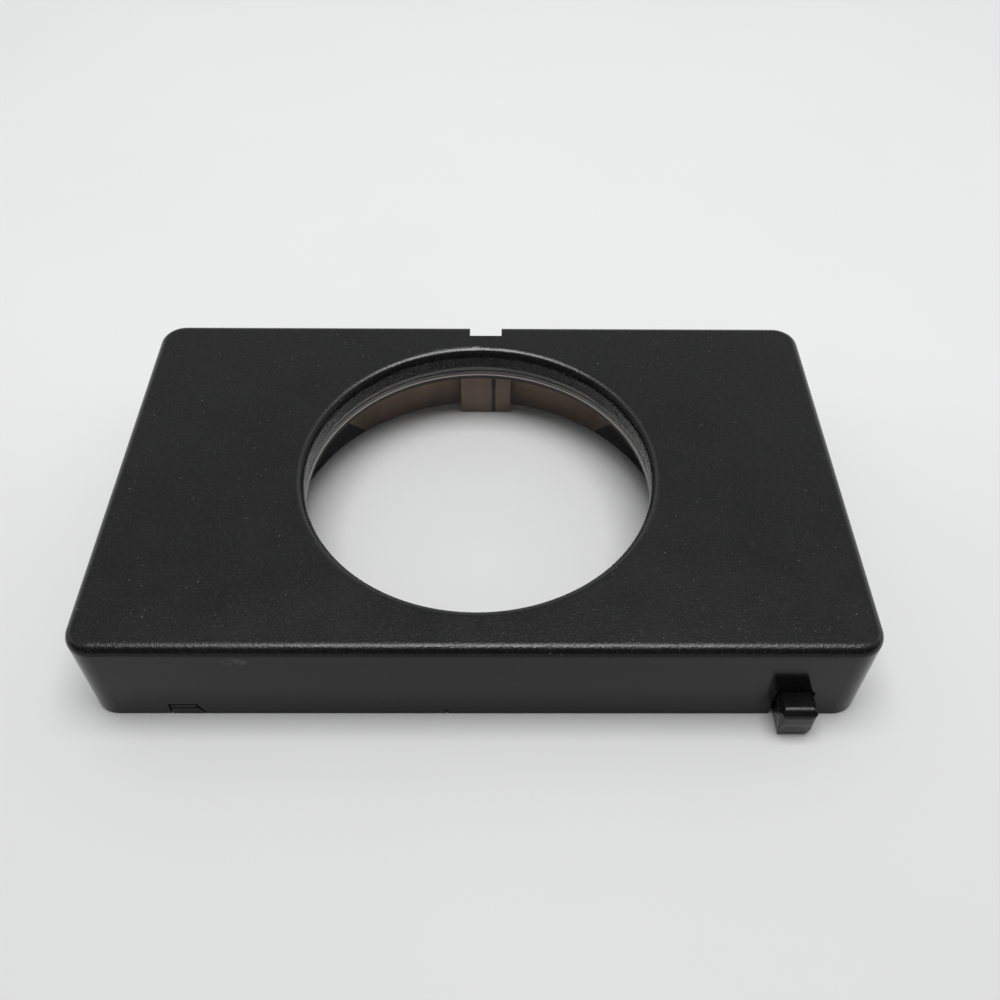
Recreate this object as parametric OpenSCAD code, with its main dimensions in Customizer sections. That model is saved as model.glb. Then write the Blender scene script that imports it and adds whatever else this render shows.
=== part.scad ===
// Glass negative carrier for square roll-film frames.
// A low frame with a light well stands on the enlarger stage, and a deep lid hinges up at the rear.
// Frame: the aperture's axis is the Z axis, the front faces -Y and the underside is z = 0.

/* [Body] */
// Width of the lid
body_w = 166; // [162:1:172]
// Depth of the lid, front to back
body_d = 101; // [100.5:0.5:103]
// Height from the resting face to the top
body_h = 24.6; // [24.2:0.1:26]
// Wall thickness of the lid
wall = 2.2; // [2:0.1:2.4]
// Thickness of the lid's deck
deck_t = 2.6; // [2.4:0.1:2.8]
// Radius of the lid's vertical corners
corner_r = 6; // [5:0.5:8]
// Radius of the lid's rounded top edge
edge_r = 2.2; // [1.6:0.1:2.2]

/* [Aperture] */
// Radius of the round window's straight wall
aperture_r = 40; // [39.6:0.1:40.2]
// Radius of the window's rounded lip
lip_r = 2.2; // [1.6:0.1:2.4]
// Depth from the deck down to the glass
collar_depth = 5.3; // [5.1:0.1:5.4]
// Radius of both glass discs
glass_r = 40.5; // [40.4:0.1:40.8]
// Thickness of one glass disc
glass_t = 1.5; // [1.3:0.1:1.6]
// Space between the two glasses for the film
film_gap = 0.3; // [0.3:0.05:0.4]

/* [Light well] */
// Inner radius of the light well
well_r = 47.2; // [46.8:0.1:47.2]
// Wall thickness of the light well
well_t = 0.6; // [0.5:0.1:0.6]
// Thickness of the bronze reflector strips
strip_t = 0.25; // [0.15:0.05:0.3]
// Centre of the gap between the two strips
strip_gap_x = 3.6; // [3:0.1:4.2]
// Width of the gap between the two strips
strip_gap_w = 1.1; // [0.8:0.1:1.4]

/* [Locating notch] */
// Width of the notch in the rear wall
notch_w = 8.3; // [8:0.1:8.4]
// Depth of the notch
notch_d = 4.3; // [3.8:0.1:4.4]
// Sideways place of the notch
notch_x = 1.5; // [0:0.5:3]

/* [Film stage] */
// Half width of the film stage plate
stage_x = 58; // [57:0.5:58.5]
// Half depth of the film stage plate
stage_y = 44; // [43.6:0.1:44.2]
// Width of the film strip that the pins guide
film_w = 61.5; // [61:0.1:62]

/* [Hinge] */
// Sideways place of each hinge
hinge_x = 55; // [50:1:58]
// Radius of a hinge pin
pin_r = 1.2; // [1:0.05:1.25]
// Running clearance round a pin
pin_clear = 0.05; // [0.03:0.01:0.08]

/* [Lock] */
// Sideways place of the lock knob
knob_x = 67.25; // [67:0.25:68]
// Width of the lock knob
knob_w = 7.7; // [7.6:0.1:8.2]
// Height of the knob's top above the resting face
knob_h = 9.2; // [9:0.1:9.4]
// How far the knob stands out at rest
knob_reach = 5.5; // [5.4:0.1:5.6]
// Travel of the lock slide
lock_travel = 3; // [2.5:0.1:3]

/* [Hidden] */
$fn = 96;
eps = 0.01;
over = 5;                                    // how far a cutter runs past what it cuts

half_w = body_w / 2;
half_d = body_d / 2;
gap = 0.4;                                   // clearance between the lid and the lower frame
skirt_z = 0.2;                               // the lid hangs this far above the resting face
deck_z = body_h - deck_t;
boss_r = 47;                                 // the collar boss under the deck

glass_top = body_h - collar_depth;           // upper glass, top face
glass_mid = glass_top - glass_t;             // upper glass, lower face
stage_top = glass_mid - film_gap;            // lower glass, top face, level with the stage
lower_glass_z = stage_top - glass_t;
stage_z = lower_glass_z - 1.2;               // underside of the film stage
glass_play = 0.1;                            // round each glass
seat_r = glass_r - 1.6;                      // the ledge that the lower glass lies on
seat_back = -18;                             // the ledge runs only round the front, up to this y

flange_t = 2;                                // the lower frame's flange
flange_x = half_w - wall - gap;
flange_y = half_d - wall - gap;

groove_wall = 1.4;                           // the lid's wall round the notch
groove_y = half_d - notch_d;                 // floor of the notch
bulge_gap = 0.3;                             // sideways, between that wall and the well
bulge_x0 = notch_x - notch_w / 2 - groove_wall - bulge_gap - well_t;
bulge_x1 = notch_x + notch_w / 2 + groove_wall + bulge_gap + well_t;
bulge_y = groove_y - groove_wall - 1.5;      // face of the bulge inside the well
chord_y = -45.8;                             // the well is flat at the front, inside face

hinge_r = 2.4;                               // knuckle radius
hinge_y = half_d + knob_reach - hinge_r;     // the hinge reaches as far back as the knob does forward
hinge_z = 2.6;
knuckle_w = 8;                               // the lower frame's middle knuckle
side_knuckle_w = 5.6;                        // each of the lid's two outer knuckles
knuckle_gap = 0.4;
pin_len = knuckle_w + 2 * (knuckle_gap + side_knuckle_w);
relief_y = half_d - 1.2;                     // the rear wall is thinner near the table
relief_z = 3;

lug_x0 = -65.3;                              // the front left lug
lug_x1 = -58.2;
lug_h = 3.5;
lug_slant = 1.8;
lug_gap = 0.4;
lug_step_z = 2.2;                            // a groove across its face
lug_step_h = 0.4;
lug_step_d = 0.6;
nick_x = -6.4;                               // a moulding nick in the front wall's lower edge
nick_w = 0.5;
nick_h = 1.7;

slide_w = 6.8;                               // the lock slide
knob_gap = 0.35;                             // round the knob, in the front wall
knob_seat = 1.4;                             // how far the knob reaches into the wall
knob_side_r = 1.2;                           // its upper side edges
knob_foot_r = 0.8;                           // its lower side edges
knob_pin_r = 0.8;                            // the cross pin through the knob and the slide
knob_pin_y = -half_d - 1.2;
tongue_w = 3.6;                              // its front end, inside the knob
tongue_y = -half_d + 1.6;                    // the tongue ends here
slide_h = 2.8;
slide_z = flange_t + 0.3;
slide_back = -24;
post_y = -34;                                // the slide's upright
post_t = 2.5;
nose_l = 3;                                  // the nose points back and runs over the keeper's lip
nose_z = 12.3;
nose_t = 2.4;
lip_z = 9.6;                                 // the keeper's lip
lip_t = 2.3;
lip_l = 2.6;
lip_y = post_y + post_t + nose_l + 0.9;      // tip of the lip, clear of the nose at rest
keeper_w = 6.4;
keeper_t = 1.6;
keeper_foot = 10;

bridge_w = 20;                               // the strap that holds the slide down
bridge_y0 = -44;
bridge_d = 7;
bridge_t = 1.6;
bridge_side = 0.4;
bridge_z = slide_z + slide_h + 0.5;          // underside of the strap's top

screw_r = 1;                                 // the small screws' shanks
screw_head_r = 1.8;
screw_head_h = 1.1;
stage_screw_x = 52;
stage_screw_y = 38;
guide_x = 50;
guide_pin_r = 1;
guide_h = 1.8;
retainer_r = groove_y - groove_wall - 0.3;   // outer radius of the glass retainer
retainer_t = 1.2;
retainer_screws_n = 6;
fine_screw_r = 0.8;                          // the retainer's and the keeper's screws
fine_head_r = 1.4;
fine_head_h = 0.9;
fine_screw_l = 3.2;
retainer_pitch_r = (glass_r + retainer_r) / 2;

// ---- shared shapes ----

// A rectangle with true round corners
module round_rect(w, d, r) {
    square([w - 2 * r, d], center = true);
    square([w, d - 2 * r], center = true);
    for (x = [-1, 1], y = [-1, 1])
        translate([x * (w / 2 - r), y * (d / 2 - r)]) circle(r);
}

// The inside of the light well: a circle, flat at the front, less the bulge round the notch.
// A positive inset makes it smaller.
module well_inside(inset) {
    difference() {
        circle(well_r - inset, $fn = 180);
        translate([bulge_x0 - inset, bulge_y - inset])
            square([bulge_x1 - bulge_x0 + 2 * inset, body_d]);
        translate([-body_w / 2, chord_y + inset - body_d]) square([body_w, body_d]);
    }
}

// What a rounded corner takes away. The outline lies on the side that sx and sy point to.
module corner_cut(sx, sy, r) {
    difference() {
        translate([sx * r / 2, sy * r / 2]) square(r + 2 * eps, center = true);
        translate([sx * r, sy * r]) circle(r, $fn = 64);
    }
}

// A countersunk screw that points down from z = 0, with a cross slot in its head
module screw(shank_r, head_r, head_h, length) {
    slot_w = head_r * 0.3;
    slot_l = head_r * 1.3;
    difference() {
        union() {
            translate([0, 0, -length]) cylinder(r = shank_r, h = length, $fn = 32);
            rotate_extrude($fn = 32)
                polygon([[0, 0], [head_r, 0], [head_r, -0.3], [shank_r, -head_h], [0, -head_h]]);
        }
        for (a = [0, 90]) rotate(a)
            translate([-slot_l / 2, -slot_w / 2, -head_h * 0.5]) cube([slot_l, slot_w, head_h]);
    }
}

// The hole that such a screw sits in
module screw_seat(shank_r, head_r, head_h, length) {
    translate([0, 0, -length]) cylinder(r = shank_r, h = length + eps, $fn = 32);
    rotate_extrude($fn = 32)
        polygon([[0, over], [head_r, over], [head_r, -0.3], [shank_r, -head_h], [0, -head_h]]);
}

module at_stage_screws() {
    for (x = [-1, 1], y = [-1, 1])
        translate([x * stage_screw_x, y * stage_screw_y, stage_top]) children();
}

// The retainer's screws point up into the collar boss
module at_retainer_screws() {
    for (i = [0 : retainer_screws_n - 1]) rotate(i * 360 / retainer_screws_n)
        translate([retainer_pitch_r, 0, glass_top - retainer_t]) mirror([0, 0, 1]) children();
}

module at_bridge_screws() {
    for (s = [-1, 1])
        translate([knob_x + s * bridge_w * 0.37, bridge_y0 + bridge_d / 2, bridge_z + bridge_t])
            children();
}

module at_keeper_screws() {
    for (s = [-1, 1])
        translate([knob_x + s * 1.9, lip_y + lip_l + keeper_t + keeper_foot * 0.55,
                   deck_z - keeper_t]) mirror([0, 0, 1]) children();
}

// A cylinder along X between two x values, on the hinge's axis
module hinge_cyl(x0, x1, r) {
    translate([x0, hinge_y, hinge_z]) rotate([0, 90, 0]) cylinder(r = r, h = x1 - x0, $fn = 48);
}

// The lug at the foot of the front wall, seen from the front, made bigger by a margin.
// Its right side slants.
module lug_outline(margin, depth) {
    translate([0, depth, 0]) rotate([90, 0, 0]) linear_extrude(depth) polygon([
        [lug_x0 - margin, -margin * over], [lug_x0 - margin, lug_h + margin],
        [lug_x1 - lug_slant + margin, lug_h + margin], [lug_x1 + margin, 0],
        [lug_x1 + margin, -margin * over]]);
}

// ---- the lower frame and what is fixed to it ----

// One moulding: flange, light well, screw pillars, hinge ears and the front lug
module lower_frame() {
    color([0.17, 0.17, 0.18]) difference() {
        union() {
            linear_extrude(flange_t) difference() {
                round_rect(2 * flange_x, 2 * flange_y, corner_r - wall);
                well_inside(-well_t / 2);
            }
            linear_extrude(stage_z) intersection() {
                difference() {
                    well_inside(-well_t);
                    well_inside(0);
                }
                square([body_w, 2 * flange_y], center = true);
            }
            for (x = [-1, 1], y = [-1, 1])
                translate([x * stage_screw_x, y * stage_screw_y, 0]) cylinder(r = 3.2, h = stage_z);
            for (s = [-1, 1]) {
                hinge_cyl(s * hinge_x - knuckle_w / 2, s * hinge_x + knuckle_w / 2, hinge_r);
                translate([s * hinge_x - knuckle_w / 2, flange_y - 1, hinge_z - hinge_r])
                    cube([knuckle_w, hinge_y - flange_y + 1, hinge_r]);
            }
            translate([0, -half_d, 0]) lug_outline(0, half_d - flange_y + 2);
        }
        // a groove across the lug's face
        translate([lug_x0 - 1, -half_d - 1, lug_step_z])
            cube([lug_x1 - lug_x0 + 2, lug_step_d + 1, lug_step_h]);
        // room for the knob to be pushed in
        translate([knob_x - knob_w / 2 - knob_gap, -half_d, -over])
            cube([knob_w + 2 * knob_gap, knob_seat + lock_travel + gap, body_h]);
        // the notch runs through the flange too
        translate([bulge_x0 + well_t, bulge_y + well_t, -over])
            cube([bulge_x1 - bulge_x0 - 2 * well_t, body_d, body_h]);
        at_stage_screws() screw_seat(screw_r, screw_head_r, screw_head_h, 9);
        at_bridge_screws() translate([0, 0, -8]) cylinder(r = screw_r, h = 8, $fn = 32);
        for (s = [-1, 1])
            hinge_cyl(s * hinge_x - pin_len / 2, s * hinge_x + pin_len / 2, pin_r);
    }
}

// The reflector strips line the far arc, and their outer ends slant
module bronze_strip(x_gap, x_low, x_high) {
    z0 = 0.3;
    z1 = stage_z - 0.1;
    color([0.33, 0.26, 0.21]) intersection() {
        translate([0, 0, z0]) linear_extrude(z1 - z0) difference() {
            well_inside(0);
            well_inside(strip_t);
        }
        translate([0, half_d, 0]) rotate([90, 0, 0]) linear_extrude(half_d - over)
            polygon([[x_gap, z0 - 1], [x_low, z0 - 1], [x_low, z0], [x_high, z1], [x_high, z1 + 1],
                     [x_gap, z1 + 1]]);
    }
}

module bronze_strip_left() {
    bronze_strip(strip_gap_x - strip_gap_w / 2, -31, -39.1);
}

module bronze_strip_right() {
    bronze_strip(strip_gap_x + strip_gap_w / 2, 31, 39.1);
}

module film_stage() {
    color([0.12, 0.12, 0.12]) difference() {
        translate([0, 0, stage_z]) linear_extrude(stage_top - stage_z)
            round_rect(2 * stage_x, 2 * stage_y, 3);
        translate([0, 0, lower_glass_z]) cylinder(r = glass_r + glass_play, h = over, $fn = 180);
        translate([0, 0, stage_z - 1]) cylinder(r = seat_r, h = over, $fn = 180);
        intersection() {
            translate([0, 0, stage_z - 1]) cylinder(r = glass_r + glass_play, h = over, $fn = 180);
            translate([-half_w, seat_back, 0]) cube([body_w, body_d, body_h]);
        }
        at_stage_screws() screw_seat(screw_r, screw_head_r, screw_head_h, 9);
        for (x = [-1, 1], y = [-1, 1])
            translate([x * guide_x, y * (film_w / 2 + guide_pin_r + 0.2), stage_z - 1])
                cylinder(r = guide_pin_r, h = over + 2, $fn = 32);
    }
}

module lower_glass() {
    color([0.8, 0.85, 0.83, 0.35])
        translate([0, 0, lower_glass_z]) cylinder(r = glass_r, h = glass_t, $fn = 180);
}

module stage_screws() {
    color([0.6, 0.6, 0.58]) at_stage_screws() screw(screw_r, screw_head_r, screw_head_h, 8.5);
}

// Round-topped pins that the film's edges lie against
module film_guide_pins() {
    color([0.75, 0.68, 0.45])
        for (x = [-1, 1], y = [-1, 1])
            translate([x * guide_x, y * (film_w / 2 + guide_pin_r + 0.2), 0]) rotate_extrude($fn = 32)
                intersection() {
                    translate([0, stage_z]) square([guide_pin_r, stage_top + guide_h - stage_z]);
                    union() {
                        translate([0, stage_z]) square([guide_pin_r, stage_top + 0.8 - stage_z]);
                        translate([0, stage_top + 0.8]) circle(guide_pin_r);
                    }
                }
}

module hinge_pin(side) {
    color([0.7, 0.7, 0.7])
        hinge_cyl(side * hinge_x - pin_len / 2 + 0.2, side * hinge_x + pin_len / 2 - 0.2, pin_r);
}

module hinge_pin_left() { hinge_pin(-1); }

module hinge_pin_right() { hinge_pin(1); }

// The strap over the lock slide
module lock_bridge() {
    side_x = slide_w / 2 + bridge_side;
    color([0.6, 0.6, 0.58]) difference() {
        translate([knob_x - bridge_w / 2, bridge_y0, flange_t])
            cube([bridge_w, bridge_d, bridge_z + bridge_t - flange_t]);
        translate([knob_x - side_x, bridge_y0 - 1, flange_t - 1])
            cube([2 * side_x, bridge_d + 2, bridge_z - flange_t + 1]);
        at_bridge_screws() screw_seat(screw_r, screw_head_r, screw_head_h, 8);
    }
}

module lock_bridge_screws() {
    color([0.5, 0.5, 0.5])
        at_bridge_screws() screw(screw_r, screw_head_r, screw_head_h, 6);
}

// A leaf under the strap that keeps the slide where it is put
module detent_spring() {
    leaf_t = 0.25;
    color([0.8, 0.8, 0.78])
        translate([knob_x - slide_w / 2 + 0.4, bridge_y0 + 0.4, bridge_z - leaf_t])
            cube([slide_w - 0.8, bridge_d - 0.8, leaf_t]);
}

// ---- the lid and what is fixed to it ----

// A block with rounded upper edges and round vertical corners
module housing_block() {
    r_in = corner_r - edge_r;
    z_edge = body_h - edge_r;
    for (x = [-1, 1], y = [-1, 1])
        translate([x * (half_w - corner_r), y * (half_d - corner_r), 0]) rotate_extrude() {
            translate([0, skirt_z]) square([corner_r, z_edge - skirt_z]);
            translate([0, skirt_z]) square([r_in, body_h - skirt_z]);
            intersection() {
                translate([r_in, z_edge]) circle(edge_r);
                square([body_w, body_h + 1]);
            }
        }
    translate([-half_w, -(half_d - corner_r), skirt_z])
        cube([body_w, body_d - 2 * corner_r, z_edge - skirt_z]);
    translate([-(half_w - corner_r), -half_d, skirt_z])
        cube([body_w - 2 * corner_r, body_d, z_edge - skirt_z]);
    translate([-(half_w - edge_r), -(half_d - corner_r), skirt_z])
        cube([body_w - 2 * edge_r, body_d - 2 * corner_r, body_h - skirt_z]);
    translate([-(half_w - corner_r), -(half_d - edge_r), skirt_z])
        cube([body_w - 2 * corner_r, body_d - 2 * edge_r, body_h - skirt_z]);
    for (y = [-1, 1])
        translate([-(half_w - corner_r), y * (half_d - edge_r), z_edge]) rotate([0, 90, 0])
            cylinder(r = edge_r, h = body_w - 2 * corner_r);
    for (x = [-1, 1])
        translate([x * (half_w - edge_r), -(half_d - corner_r), z_edge]) rotate([-90, 0, 0])
            cylinder(r = edge_r, h = body_d - 2 * corner_r);
}

// The opening for the knob in the front wall, with round upper corners
module knob_opening() {
    side = knob_w / 2 + knob_gap;
    top = knob_h + knob_gap;
    translate([knob_x, -half_d + wall + 1, 0]) rotate([90, 0, 0]) linear_extrude(wall + 2)
        difference() {
            translate([-side, -over]) square([2 * side, top + over]);
            for (s = [-1, 1])
                translate([s * side, top]) corner_cut(-s, -1, knob_side_r + knob_gap);
        }
}

// The round window with its rounded lip
module window_cutter() {
    rotate_extrude($fn = 180) {
        translate([0, glass_top - 1]) square([aperture_r, collar_depth + 1 + over]);
        difference() {
            translate([aperture_r - eps, body_h - lip_r]) square([lip_r + eps, lip_r + eps]);
            translate([aperture_r + lip_r, body_h - lip_r]) circle(lip_r);
        }
    }
}

module upper_housing() {
    inner_r = corner_r - wall;
    side_x = knuckle_w / 2 + knuckle_gap;
    color([0.18, 0.18, 0.19]) difference() {
        union() {
            difference() {
                housing_block();
                translate([0, 0, skirt_z - 1]) linear_extrude(deck_z - skirt_z + 1)
                    round_rect(body_w - 2 * wall, body_d - 2 * wall, inner_r);
            }
            translate([0, 0, glass_top]) cylinder(r = boss_r, h = collar_depth - 1, $fn = 180);
            // the wall round the notch
            translate([notch_x - notch_w / 2 - groove_wall, groove_y - groove_wall, skirt_z])
                cube([notch_w + 2 * groove_wall, notch_d + groove_wall - edge_r, deck_z]);
            // hinge knuckles on the rear wall
            for (s = [-1, 1], k = [-1, 1]) {
                x0 = s * hinge_x + (k > 0 ? side_x : -side_x - side_knuckle_w);
                hinge_cyl(x0, x0 + side_knuckle_w, hinge_r);
                translate([x0, half_d - 1, hinge_z - hinge_r])
                    cube([side_knuckle_w, hinge_y - half_d + 1, 2 * hinge_r]);
            }
        }
        window_cutter();
        // locating notch through the rear wall
        translate([notch_x - notch_w / 2, groove_y, -over])
            cube([notch_w, notch_d + over, body_h + 2 * over]);
        // openings at the foot of the front wall for the lug and the knob
        translate([0, -half_d - 1, 0]) lug_outline(lug_gap, wall + 2);
        knob_opening();
        translate([nick_x - nick_w / 2, -half_d - 1, -over]) cube([nick_w, 1.5, nick_h + over]);
        // thinner rear wall near the table, so that it swings clear of the lower frame
        for (s = [-1, 1]) {
            x0 = notch_x + s * (notch_w / 2 + groove_wall);
            x1 = s * (half_w - corner_r);
            translate([min(x0, x1), half_d - wall - 1, -over])
                cube([abs(x1 - x0), relief_y - half_d + wall + 1, relief_z + over]);
        }
        // openings at the foot of the rear wall for the lower frame's knuckles
        for (s = [-1, 1]) {
            translate([s * hinge_x - side_x, half_d - wall - 1, -over])
                cube([2 * side_x, wall + 2, hinge_z + hinge_r + gap + over]);
            hinge_cyl(s * hinge_x - pin_len / 2 - 1, s * hinge_x + pin_len / 2 + 1,
                      pin_r + pin_clear);
        }
        at_retainer_screws() translate([0, 0, -fine_screw_l - 0.2])
            cylinder(r = fine_screw_r, h = fine_screw_l + 0.2, $fn = 32);
        at_keeper_screws() translate([0, 0, -fine_screw_l])
            cylinder(r = fine_screw_r, h = fine_screw_l, $fn = 32);
    }
}

module upper_glass() {
    color([0.8, 0.85, 0.83, 0.35])
        translate([0, 0, glass_mid]) cylinder(r = glass_r, h = glass_t, $fn = 180);
}

// The ring that holds the upper glass against the collar
module glass_retainer() {
    color([0.15, 0.15, 0.15]) difference() {
        translate([0, 0, glass_top - retainer_t]) difference() {
            cylinder(r = retainer_r, h = retainer_t, $fn = 180);
            translate([0, 0, -1]) cylinder(r = glass_r + glass_play, h = retainer_t + 2, $fn = 180);
        }
        at_retainer_screws() screw_seat(fine_screw_r, fine_head_r, fine_head_h, 4);
    }
}

module retainer_screws() {
    color([0.55, 0.55, 0.53])
        at_retainer_screws() screw(fine_screw_r, fine_head_r, fine_head_h, fine_screw_l);
}

// A bent plate under the deck with a lip that the slide's nose runs over
module lock_keeper() {
    plate_y = lip_y + lip_l;
    foot_w = 8;
    color([0.6, 0.6, 0.58]) difference() {
        union() {
            translate([knob_x - keeper_w / 2, plate_y, lip_z])
                cube([keeper_w, keeper_t, deck_z - lip_z]);
            translate([knob_x - keeper_w / 2, lip_y, lip_z]) cube([keeper_w, lip_l + eps, lip_t]);
            translate([knob_x - foot_w / 2, plate_y, deck_z - keeper_t])
                cube([foot_w, keeper_t + keeper_foot, keeper_t]);
        }
        at_keeper_screws() screw_seat(fine_screw_r, fine_head_r, fine_head_h, 4);
    }
}

module keeper_screws() {
    color([0.5, 0.5, 0.5]) at_keeper_screws() screw(fine_screw_r, fine_head_r, fine_head_h, 3);
}

// ---- the lock's moving pieces ----

// The knob narrows downward, and its upper front edge is well rounded
module lock_knob() {
    front = -half_d - knob_reach;
    back = -half_d + knob_seat;
    z0 = 0.3;
    top_r = 2;
    foot_w = knob_w - 1.2;
    shoulder_z = knob_h - 2 * knob_side_r;
    slant = (knob_w - foot_w) / 2 / (shoulder_z - z0);
    color([0.13, 0.13, 0.13]) difference() {
        intersection() {
            // side profile
            translate([knob_x - knob_w, 0, 0]) rotate([90, 0, 90]) linear_extrude(2 * knob_w)
                difference() {
                    polygon([[back, z0], [front + 0.6, z0], [front, knob_h - 2 * top_r],
                             [front, knob_h], [back, knob_h]]);
                    translate([front, knob_h]) corner_cut(1, -1, top_r);
                }
            // front profile
            translate([knob_x, 0, 0]) rotate([90, 0, 0]) linear_extrude(body_w) difference() {
                polygon([[-foot_w / 2, z0], [foot_w / 2, z0], [knob_w / 2, shoulder_z],
                         [knob_w / 2, knob_h], [-knob_w / 2, knob_h], [-knob_w / 2, shoulder_z]]);
                for (s = [-1, 1]) {
                    translate([s * knob_w / 2, knob_h]) corner_cut(-s, -1, knob_side_r);
                    translate([s * (foot_w / 2 + knob_foot_r * slant), z0])
                        corner_cut(-s, 1, knob_foot_r);
                }
            }
            // plan
            translate([knob_x, 0, 0]) linear_extrude(body_h) difference() {
                translate([-knob_w / 2, front]) square([knob_w, back - front]);
                for (s = [-1, 1])
                    translate([s * knob_w / 2, front]) corner_cut(-s, 1, knob_side_r);
            }
        }
        // socket for the slide and hole for the cross pin
        translate([knob_x - tongue_w / 2, -half_d - 3, slide_z]) cube([tongue_w, over + 3, slide_h]);
        translate([knob_x, knob_pin_y, z0 - 1]) cylinder(r = knob_pin_r, h = 7.5, $fn = 32);
    }
}

module lock_slide() {
    nose_y = post_y + post_t;
    color([0.62, 0.62, 0.6]) difference() {
        union() {
            translate([knob_x - tongue_w / 2, -half_d - 3, slide_z])
                cube([tongue_w, tongue_y + half_d + 4, slide_h]);
            translate([knob_x - slide_w / 2, tongue_y, slide_z])
                cube([slide_w, slide_back - tongue_y, slide_h]);
            translate([knob_x - slide_w / 2 + 0.6, post_y, slide_z])
                cube([slide_w - 1.2, post_t, nose_z + nose_t - slide_z]);
            translate([knob_x - slide_w / 2 + 0.6, nose_y - 1, nose_z])
                cube([slide_w - 1.2, nose_l + 1, nose_t]);
        }
        translate([knob_x, knob_pin_y, 0]) cylinder(r = knob_pin_r, h = body_h, $fn = 32);
        // two detent grooves under the leaf spring
        for (k = [0, 1])
            translate([knob_x - slide_w, bridge_y0 + bridge_d / 2 - k * lock_travel, slide_z + slide_h])
                rotate([0, 90, 0]) cylinder(r = 0.5, h = 2 * slide_w, $fn = 24);
    }
}

module knob_pin() {
    color([0.7, 0.7, 0.7])
        translate([knob_x, knob_pin_y, 0.4]) cylinder(r = knob_pin_r, h = 6.2, $fn = 32);
}

lower_frame();
bronze_strip_left();
bronze_strip_right();
film_stage();
lower_glass();
stage_screws();
film_guide_pins();
hinge_pin_left();
hinge_pin_right();
lock_bridge();
lock_bridge_screws();
detent_spring();
upper_housing();
upper_glass();
glass_retainer();
retainer_screws();
lock_keeper();
keeper_screws();
lock_knob();
lock_slide();
knob_pin();
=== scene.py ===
"""Looks for the glass negative carrier: camera, soft light, pale table and a material for each node.

Lengths are in metres, and noise scales are in cycles per metre.
"""
import math

import bmesh
import bpy
from mathutils import Matrix, Vector


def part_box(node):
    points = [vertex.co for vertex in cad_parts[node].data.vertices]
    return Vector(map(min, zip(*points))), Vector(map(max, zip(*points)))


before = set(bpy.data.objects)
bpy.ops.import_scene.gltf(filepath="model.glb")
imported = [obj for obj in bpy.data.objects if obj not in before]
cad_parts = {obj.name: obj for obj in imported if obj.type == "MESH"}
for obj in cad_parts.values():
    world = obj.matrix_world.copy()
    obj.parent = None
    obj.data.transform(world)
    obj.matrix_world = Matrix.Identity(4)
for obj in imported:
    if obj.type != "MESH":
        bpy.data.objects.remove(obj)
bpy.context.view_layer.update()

CAMERA_PLACE = (0.00309, -0.15813, 0.19400)
CAMERA_PITCH = 48.956          # degrees below the horizon
CAMERA_YAW = 0.742
CAMERA_ROLL = 0.691
CAMERA_LENS = 36.1             # mm, on a sensor 36 mm wide
LAMP_PLACE = (0.03, 0.0, 1.05)
LAMP_SIZE = (0.8, 0.5)
LAMP_POWER = 8.9               # watts
SKY_FRONT = 0.10               # strength of the sky on the camera's side
SKY_BACK = 0.52
SKY_LEFT = 0.92                # factors on that strength
SKY_RIGHT = 1.08
TABLE_HALF = 2.5


# ---- camera ----

def make_camera():
    """A camera above the front edge that looks steeply down."""
    pitch, yaw, roll = (math.radians(a) for a in (CAMERA_PITCH, CAMERA_YAW, CAMERA_ROLL))
    forward = Vector((math.sin(yaw) * math.cos(pitch), math.cos(yaw) * math.cos(pitch),
                      -math.sin(pitch)))
    right = forward.cross(Vector((0, 0, 1))).normalized()
    up = right.cross(forward)
    right_rolled = right * math.cos(roll) + up * math.sin(roll)
    up_rolled = up * math.cos(roll) - right * math.sin(roll)
    data = bpy.data.cameras.new("camera")
    data.sensor_width = 36
    data.lens = CAMERA_LENS
    data.clip_start = 0.005
    camera = bpy.data.objects.new("camera", data)
    axes = Matrix((right_rolled, up_rolled, -forward)).transposed()
    camera.matrix_world = Matrix.Translation(CAMERA_PLACE) @ axes.to_4x4()
    bpy.context.collection.objects.link(camera)
    bpy.context.scene.camera = camera


# ---- light and floor ----

def make_lamp():
    """A large soft lamp that points straight down."""
    data = bpy.data.lights.new("overhead", "AREA")
    data.shape = "RECTANGLE"
    data.size, data.size_y = LAMP_SIZE
    data.energy = LAMP_POWER
    light = bpy.data.objects.new("overhead", data)
    light.location = LAMP_PLACE
    bpy.context.collection.objects.link(light)


def make_sky():
    """A pale room that is bright behind the part and dim on the camera's side."""
    world = bpy.data.worlds.new("world")
    bpy.context.scene.world = world
    world.use_nodes = True
    tree = world.node_tree
    sky = tree.nodes["Background"]
    coords = tree.nodes.new("ShaderNodeTexCoord")
    split = tree.nodes.new("ShaderNodeSeparateXYZ")
    front_to_back = tree.nodes.new("ShaderNodeMapRange")
    side = tree.nodes.new("ShaderNodeMapRange")
    product = tree.nodes.new("ShaderNodeMath")
    product.operation = "MULTIPLY"
    ranges = ((front_to_back, (-0.35, 0.15, SKY_FRONT, SKY_BACK)), (side, (-1, 1, SKY_LEFT, SKY_RIGHT)))
    for node, values in ranges:
        for socket, value in zip(("From Min", "From Max", "To Min", "To Max"), values):
            node.inputs[socket].default_value = value
    link = tree.links.new
    link(coords.outputs["Generated"], split.inputs[0])
    link(split.outputs["Y"], front_to_back.inputs["Value"])
    link(split.outputs["X"], side.inputs["Value"])
    link(front_to_back.outputs[0], product.inputs[0])
    link(side.outputs[0], product.inputs[1])
    link(product.outputs[0], sky.inputs["Strength"])
    sky.inputs["Color"].default_value = (0.98, 0.99, 1.0, 1)


def set_view():
    """Plain display colours, with no tone curve."""
    view = bpy.context.scene.view_settings
    view.view_transform = "Standard"
    view.look = "None"


# ---- material helpers ----

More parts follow.
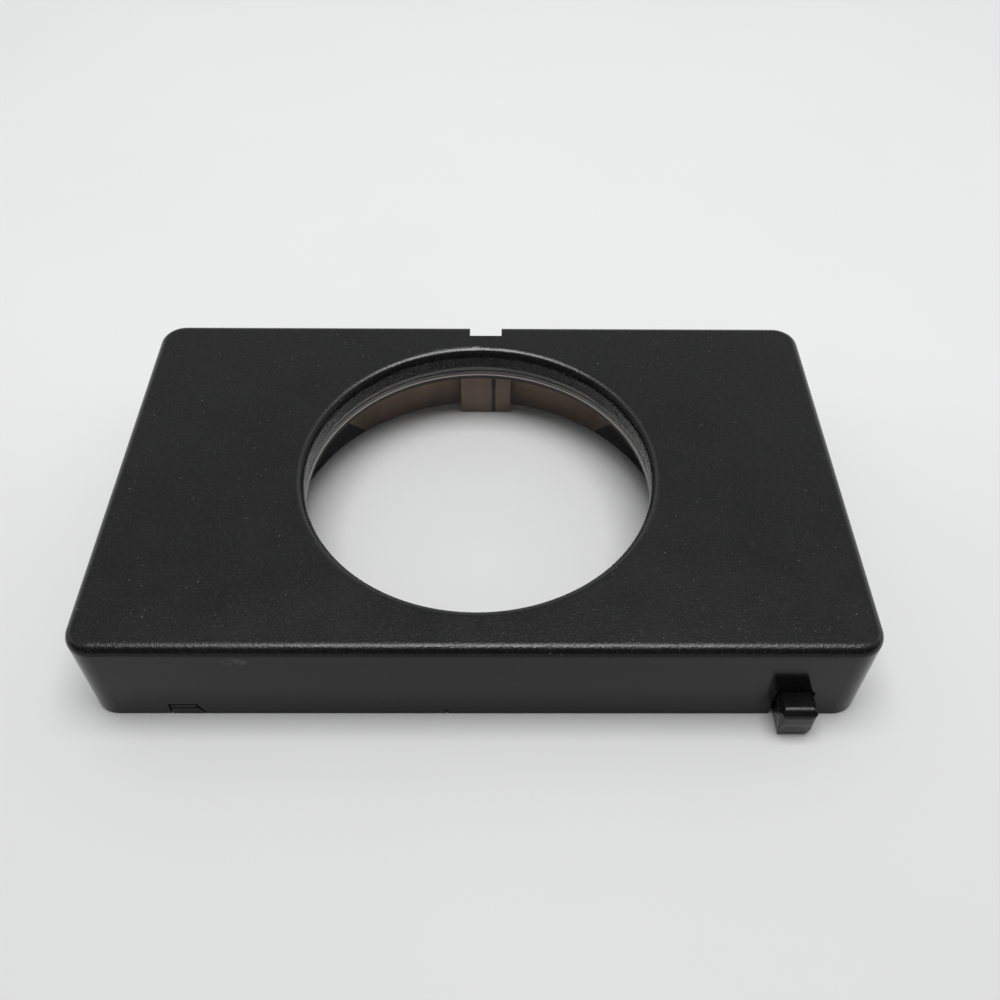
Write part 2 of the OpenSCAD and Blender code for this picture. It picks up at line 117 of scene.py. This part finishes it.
class Nodes:
    """Short calls for building a node tree."""

    def __init__(self, name):
        self.material = bpy.data.materials.new(name)
        self.material.use_nodes = True
        self.tree = self.material.node_tree
        self.shader = self.tree.nodes["Principled BSDF"]
        source = self.add("ShaderNodeTexCoord")
        self.coords = source.outputs["Object"]
        self.normal = source.outputs["Normal"]

    def add(self, kind, inputs=None, **settings):
        node = self.tree.nodes.new(kind)
        for key, value in settings.items():
            setattr(node, key, value)
        for key, value in (inputs or {}).items():
            self.put(node.inputs[key], value)
        return node

    def put(self, socket, value):
        if isinstance(value, bpy.types.NodeSocket):
            self.tree.links.new(value, socket)
        else:
            socket.default_value = value

    def set(self, **values):
        """Sets the shader's sockets: Base_Color=..., Roughness=... (an underscore stands for a space)."""
        for key, value in values.items():
            self.put(self.shader.inputs[key.replace("_", " ")], value)

    def noise(self, scale, detail=2.0, rough=0.5, distortion=0.0, stretch=None):
        source = self.coords
        if stretch:
            source = self.add("ShaderNodeMapping", {"Vector": self.coords, "Scale": stretch}).outputs[0]
        node = self.add("ShaderNodeTexNoise", {
            "Vector": source, "Scale": scale, "Detail": detail, "Roughness": rough,
            "Distortion": distortion})
        return node.outputs["Fac"]

    def cells(self, scale):
        node = self.add("ShaderNodeTexVoronoi", {"Vector": self.coords, "Scale": scale}, feature="F1")
        return node.outputs["Distance"]

    def remap(self, value, low, high, to_low=0.0, to_high=1.0):
        node = self.add("ShaderNodeMapRange", {
            "Value": value, "From Min": low, "From Max": high, "To Min": to_low, "To Max": to_high})
        return node.outputs[0]

    def math(self, kind, a, b=0.0):
        return self.add("ShaderNodeMath", {0: a, 1: b}, operation=kind).outputs[0]

    def mix(self, factor, a, b):
        node = self.add("ShaderNodeMix", {0: factor, 6: a, 7: b}, data_type="RGBA")
        return node.outputs[2]

    def up_facing(self):
        """1 on faces that are level when the part lies flat, 0 on walls."""
        split = self.add("ShaderNodeSeparateXYZ", {0: self.normal})
        return self.math("ABSOLUTE", split.outputs["Z"])

    def axis(self, letter):
        return self.add("ShaderNodeSeparateXYZ", {0: self.coords}).outputs[letter]

    def near(self, place, size):
        """A soft mask round a place, in the part's frame, with a half size along each axis."""
        moved = self.add("ShaderNodeVectorMath", {0: self.coords, 1: place}, operation="SUBTRACT")
        scaled = self.add("ShaderNodeVectorMath", {0: moved.outputs[0], 1: size}, operation="DIVIDE")
        length = self.add("ShaderNodeVectorMath", {0: scaled.outputs[0]}, operation="LENGTH")
        return self.remap(length.outputs["Value"], 0.6, 1.0, 1.0, 0.0)

    def off(self, value, middle):
        """How far a value is from a middle value."""
        return self.math("ABSOLUTE", self.math("SUBTRACT", value, middle))

    def bump(self, height, distance, strength):
        node = self.add("ShaderNodeBump", {
            "Height": height, "Distance": distance, "Strength": strength})
        return node.outputs["Normal"]


def grey(value, tint=(1, 1, 1)):
    """A colour of this brightness, with a tint."""
    return tuple(value * t for t in tint) + (1,)


# ---- materials ----

def moulded_black(name, wall_rough, deck_rough, grain=1.0, rubbed=None):
    """Black moulding: a fine grain on level faces, smooth satin walls, dust, and polished edges.

    rubbed is the place and the half size of a patch that is scuffed pale.
    """
    dark, light, fleck = 0.004, 0.006, 0.0192
    n = Nodes(name)
    level = n.remap(n.up_facing(), 0.25, 0.8)
    fine = n.cells(2600)
    coarse = n.noise(1700, 3.0, 0.6)
    cloud = n.noise(25, 3.0, 0.55)
    body = n.mix(n.remap(cloud, 0.35, 0.65), grey(dark), grey(light, (1.0, 1.0, 1.03)))
    body = n.mix(n.math("MULTIPLY", n.remap(coarse, 0.48, 0.66), 0.5), body, grey(fleck))

    dust = n.remap(n.noise(1900, 1.0, 0.4), 0.735, 0.78)
    dust = n.math("MULTIPLY", dust, n.remap(n.noise(160, 1.0), 0.45, 0.6))
    body = n.mix(n.math("MULTIPLY", dust, 0.35), body, grey(0.30, (1.0, 0.97, 0.9)))

    hair = n.remap(n.off(n.noise(60, 4.0, 0.7, 2.0, stretch=(1.0, 7.0, 1.0)), 0.5), 0.0, 0.004, 0.04, 0.0)
    body = n.mix(n.math("MULTIPLY", hair, level), body, grey(0.16))
    if rubbed:
        scuff = n.math("MULTIPLY", n.near(*rubbed), n.remap(n.noise(900, 4.0, 0.7), 0.45, 0.62, 0.0, 0.5))
        body = n.mix(scuff, body, grey(0.13, (1.0, 1.0, 0.93)))

    rough = n.remap(level, 0.0, 1.0, wall_rough, deck_rough)
    rough = n.math("ADD", rough, n.remap(n.noise(90, 3.0), 0.3, 0.7, -0.04, 0.05))
    height = n.math("ADD", n.math("MULTIPLY", fine, 0.6), n.math("MULTIPLY", coarse, 0.9))
    height = n.math("MULTIPLY", height, n.remap(level, 0.0, 1.0, 0.05, 1.0))
    # rounded edges are polished by handling
    polish = n.remap(n.off(n.up_facing(), 0.88), 0.0, 0.11, 0.6, 0.0)
    polish = n.math("ADD", n.remap(level, 0.0, 1.0, 0.21, 0.29), polish)
    n.set(Base_Color=body, Roughness=rough, IOR=1.5, Specular_IOR_Level=polish,
          Normal=n.bump(height, 0.00009 * grain, 0.6))
    return n.material


def housing_black():
    """The lid's moulding, with a scuffed patch high on the front wall, left of the middle."""
    low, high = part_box("upper_housing")
    place = (-0.0483, low.y, high.z - 0.0039)
    return moulded_black("housing_black", 0.13, 0.25, rubbed=(place, (0.0034, 0.004, 0.0014)))


def frame_black():
    return moulded_black("frame_black", 0.30, 0.4, grain=0.7)


def stage_black():
    """Matt lacquer on sheet metal, rubbed brighter on a few high spots."""
    n = Nodes("stage_black")
    tone = n.mix(n.remap(n.noise(40, 4.0), 0.35, 0.7), grey(0.011), grey(0.019))
    rub = n.remap(n.noise(260, 5.0, 0.7, stretch=(1, 6, 1)), 0.62, 0.75, 0.0, 0.4)
    n.set(Base_Color=n.mix(rub, tone, grey(0.05)), Roughness=n.remap(rub, 0, 0.4, 0.6, 0.42),
          Normal=n.bump(n.noise(1400, 3.0), 0.00005, 0.5))
    return n.material


def bronze():
    """Dark bronze reflector strip, lightly streaked along its height."""
    n = Nodes("bronze")
    streak = n.noise(240, 4.0, 0.6, stretch=(1, 1, 0.06))
    patch = n.noise(55, 3.0, 0.5)
    tone = n.mix(n.remap(streak, 0.35, 0.65), grey(1, (0.098, 0.066, 0.046)),
                 grey(1, (0.145, 0.098, 0.068)))
    tone = n.mix(n.remap(patch, 0.45, 0.7, 0.0, 0.5), tone, grey(1, (0.20, 0.135, 0.092)))
    n.set(Base_Color=tone, Metallic=0.55, Roughness=n.remap(streak, 0.3, 0.7, 0.26, 0.38),
          Normal=n.bump(streak, 0.00003, 0.4))
    return n.material


def plated_steel(name="plated_steel", tone=0.42, rough=0.3):
    """Brushed, lightly stained plating."""
    n = Nodes(name)
    brush = n.noise(500, 4.0, 0.6, stretch=(0.06, 1, 1))
    stain = n.remap(n.noise(120, 4.0, 0.65), 0.5, 0.75)
    base = n.mix(n.remap(brush, 0.35, 0.65), grey(tone * 0.85), grey(tone, (1, 0.99, 0.96)))
    n.set(Base_Color=n.mix(stain, base, grey(tone * 0.55, (1, 0.96, 0.9))), Metallic=1.0,
          Roughness=n.remap(brush, 0.3, 0.7, rough - 0.06, rough + 0.1),
          Normal=n.bump(brush, 0.00002, 0.5))
    return n.material


def turned_brass():
    """Brass with fine turning rings."""
    n = Nodes("turned_brass")
    rings = n.noise(900, 3.0, 0.6, stretch=(0.2, 0.2, 1.5))
    base = n.mix(n.remap(rings, 0.35, 0.65), grey(1, (0.50, 0.36, 0.15)), grey(1, (0.68, 0.52, 0.25)))
    n.set(Base_Color=base, Metallic=1.0, Roughness=n.remap(rings, 0.3, 0.7, 0.2, 0.36),
          Normal=n.bump(rings, 0.00002, 0.5))
    return n.material


def knob_black():
    """Glossier black, with moulding ripples and a torn gate line low on the front face."""
    n = Nodes("knob_black")
    ripple = n.noise(260, 3.0, 0.5)
    fine = n.noise(1600, 3.0, 0.6)
    tone = n.mix(n.remap(ripple, 0.35, 0.65), grey(0.004), grey(0.008))
    line_z = 0.0034
    front_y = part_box("lock_knob")[0].y
    front = n.remap(n.axis("Y"), front_y + 0.0011, front_y + 0.0007)
    wavy = n.math("ADD", n.axis("Z"), n.remap(n.noise(900, 5.0, 0.8), 0.2, 0.8, -0.0006, 0.0006))
    line = n.math("MULTIPLY", n.remap(n.off(wavy, line_z), 0.0001, 0.0004, 1.0, 0.0), front)
    below = n.math("MULTIPLY", n.remap(wavy, line_z, line_z - 0.0003), front)
    tone = n.mix(n.math("MULTIPLY", below, 0.5), tone, grey(0.03, (1.0, 0.95, 0.95)))
    height = n.math("ADD", n.math("MULTIPLY", ripple, 0.5), fine)
    height = n.math("SUBTRACT", height, n.math("MULTIPLY", line, 3.0))
    n.set(Base_Color=n.mix(line, tone, grey(0.002)), Roughness=n.remap(fine, 0.3, 0.7, 0.20, 0.30),
          Specular_IOR_Level=0.34, Normal=n.bump(height, 0.00004, 0.6))
    return n.material


def clear_glass():
    """Coated glass: faces that hardly mirror, and a polished rim with fine streaks along it."""
    n = Nodes("clear_glass")
    rim = n.remap(n.up_facing(), 0.3, 0.7, 1.0, 0.0)
    streak = n.noise(260, 5.0, 0.7, stretch=(0.3, 0.3, 9.0))
    rim_tone = n.mix(n.remap(streak, 0.35, 0.7), grey(0.02), grey(0.13, (1.0, 0.97, 0.93)))
    # a thin pale tan line is painted along the lower disc's lower edge: a painted reflection of the
    # bronze strips, seen in the glass edge
    edge_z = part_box("lower_glass")[0].z
    painted_bronze_reflection = n.remap(n.axis("Z"), edge_z + 0.0002, edge_z + 0.0005, 1.0, 0.0)
    rim_tone = n.mix(painted_bronze_reflection, rim_tone, grey(0.5, (1.0, 0.88, 0.77)))
    faint_mirror = n.add("ShaderNodeFresnel", {"IOR": 1.1}).outputs[0]
    n.set(Base_Color=n.mix(rim, grey(1.0), rim_tone), Metallic=n.remap(rim, 0.0, 1.0, 1.0, 0.0),
          Roughness=n.remap(rim, 0.0, 1.0, 0.01, 0.16), IOR=1.5,
          Alpha=n.math("MAXIMUM", rim, faint_mirror),
          Normal=n.bump(n.math("MULTIPLY", streak, rim), 0.00004, 0.5))
    return n.material


def pale_table():
    """A pale, faintly mottled table top, with painted shade that makes it a little darker in front and
    painted light that makes it paler behind.
    """
    n = Nodes("pale_table")
    mottled = n.noise(9, 4.0, 0.6)
    fine = n.noise(700, 2.0)
    smudge = n.remap(n.noise(45, 4.0, 0.7), 0.66, 0.72, 0.0, 0.25)
    tone = n.mix(n.remap(mottled, 0.3, 0.7), grey(0.80), grey(0.83))
    # painted shade: the table is painted darker towards the front
    tone = n.mix(n.remap(n.axis("Y"), -0.12, 0.06, 0.6, 0.1), tone, grey(0.62))
    # painted light: the table is painted paler towards the back
    tone = n.mix(n.remap(n.axis("Y"), 0.0, 0.35, 0.0, 0.6), tone, grey(0.93))
    n.set(Base_Color=n.mix(n.math("MULTIPLY", smudge, 0.1), tone, grey(0.6)),
          Roughness=0.6, Normal=n.bump(fine, 0.00003, 0.3))
    return n.material


def dress_nodes():
    """Gives each CAD node its material."""
    steel = plated_steel()
    zinc = plated_steel("zinc_screw", 0.34, 0.34)
    glass = clear_glass()
    stage = stage_black()
    strip = bronze()
    by_node = {
        "lower_frame": frame_black(), "bronze_strip_left": strip, "bronze_strip_right": strip,
        "film_stage": stage, "lower_glass": glass, "stage_screws": zinc,
        "film_guide_pins": turned_brass(), "hinge_pin_left": steel, "hinge_pin_right": steel,
        "lock_bridge": steel, "lock_bridge_screws": zinc, "detent_spring": steel,
        "upper_housing": housing_black(), "upper_glass": glass, "glass_retainer": stage,
        "retainer_screws": zinc, "lock_keeper": steel, "keeper_screws": zinc,
        "lock_knob": knob_black(), "lock_slide": steel, "knob_pin": steel,
    }
    for name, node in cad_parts.items():
        node.data.materials.clear()
        node.data.materials.append(by_node[name])


def make_floor():
    """The table that the part stands on."""
    mesh = bpy.data.meshes.new("floor")
    bm = bmesh.new()
    bmesh.ops.create_grid(bm, x_segments=8, y_segments=8, size=TABLE_HALF)
    bm.to_mesh(mesh)
    bm.free()
    floor = bpy.data.objects.new("floor", mesh)
    mesh.materials.append(pale_table())
    bpy.context.collection.objects.link(floor)


make_camera()
make_lamp()
make_sky()
set_view()
make_floor()
dress_nodes()
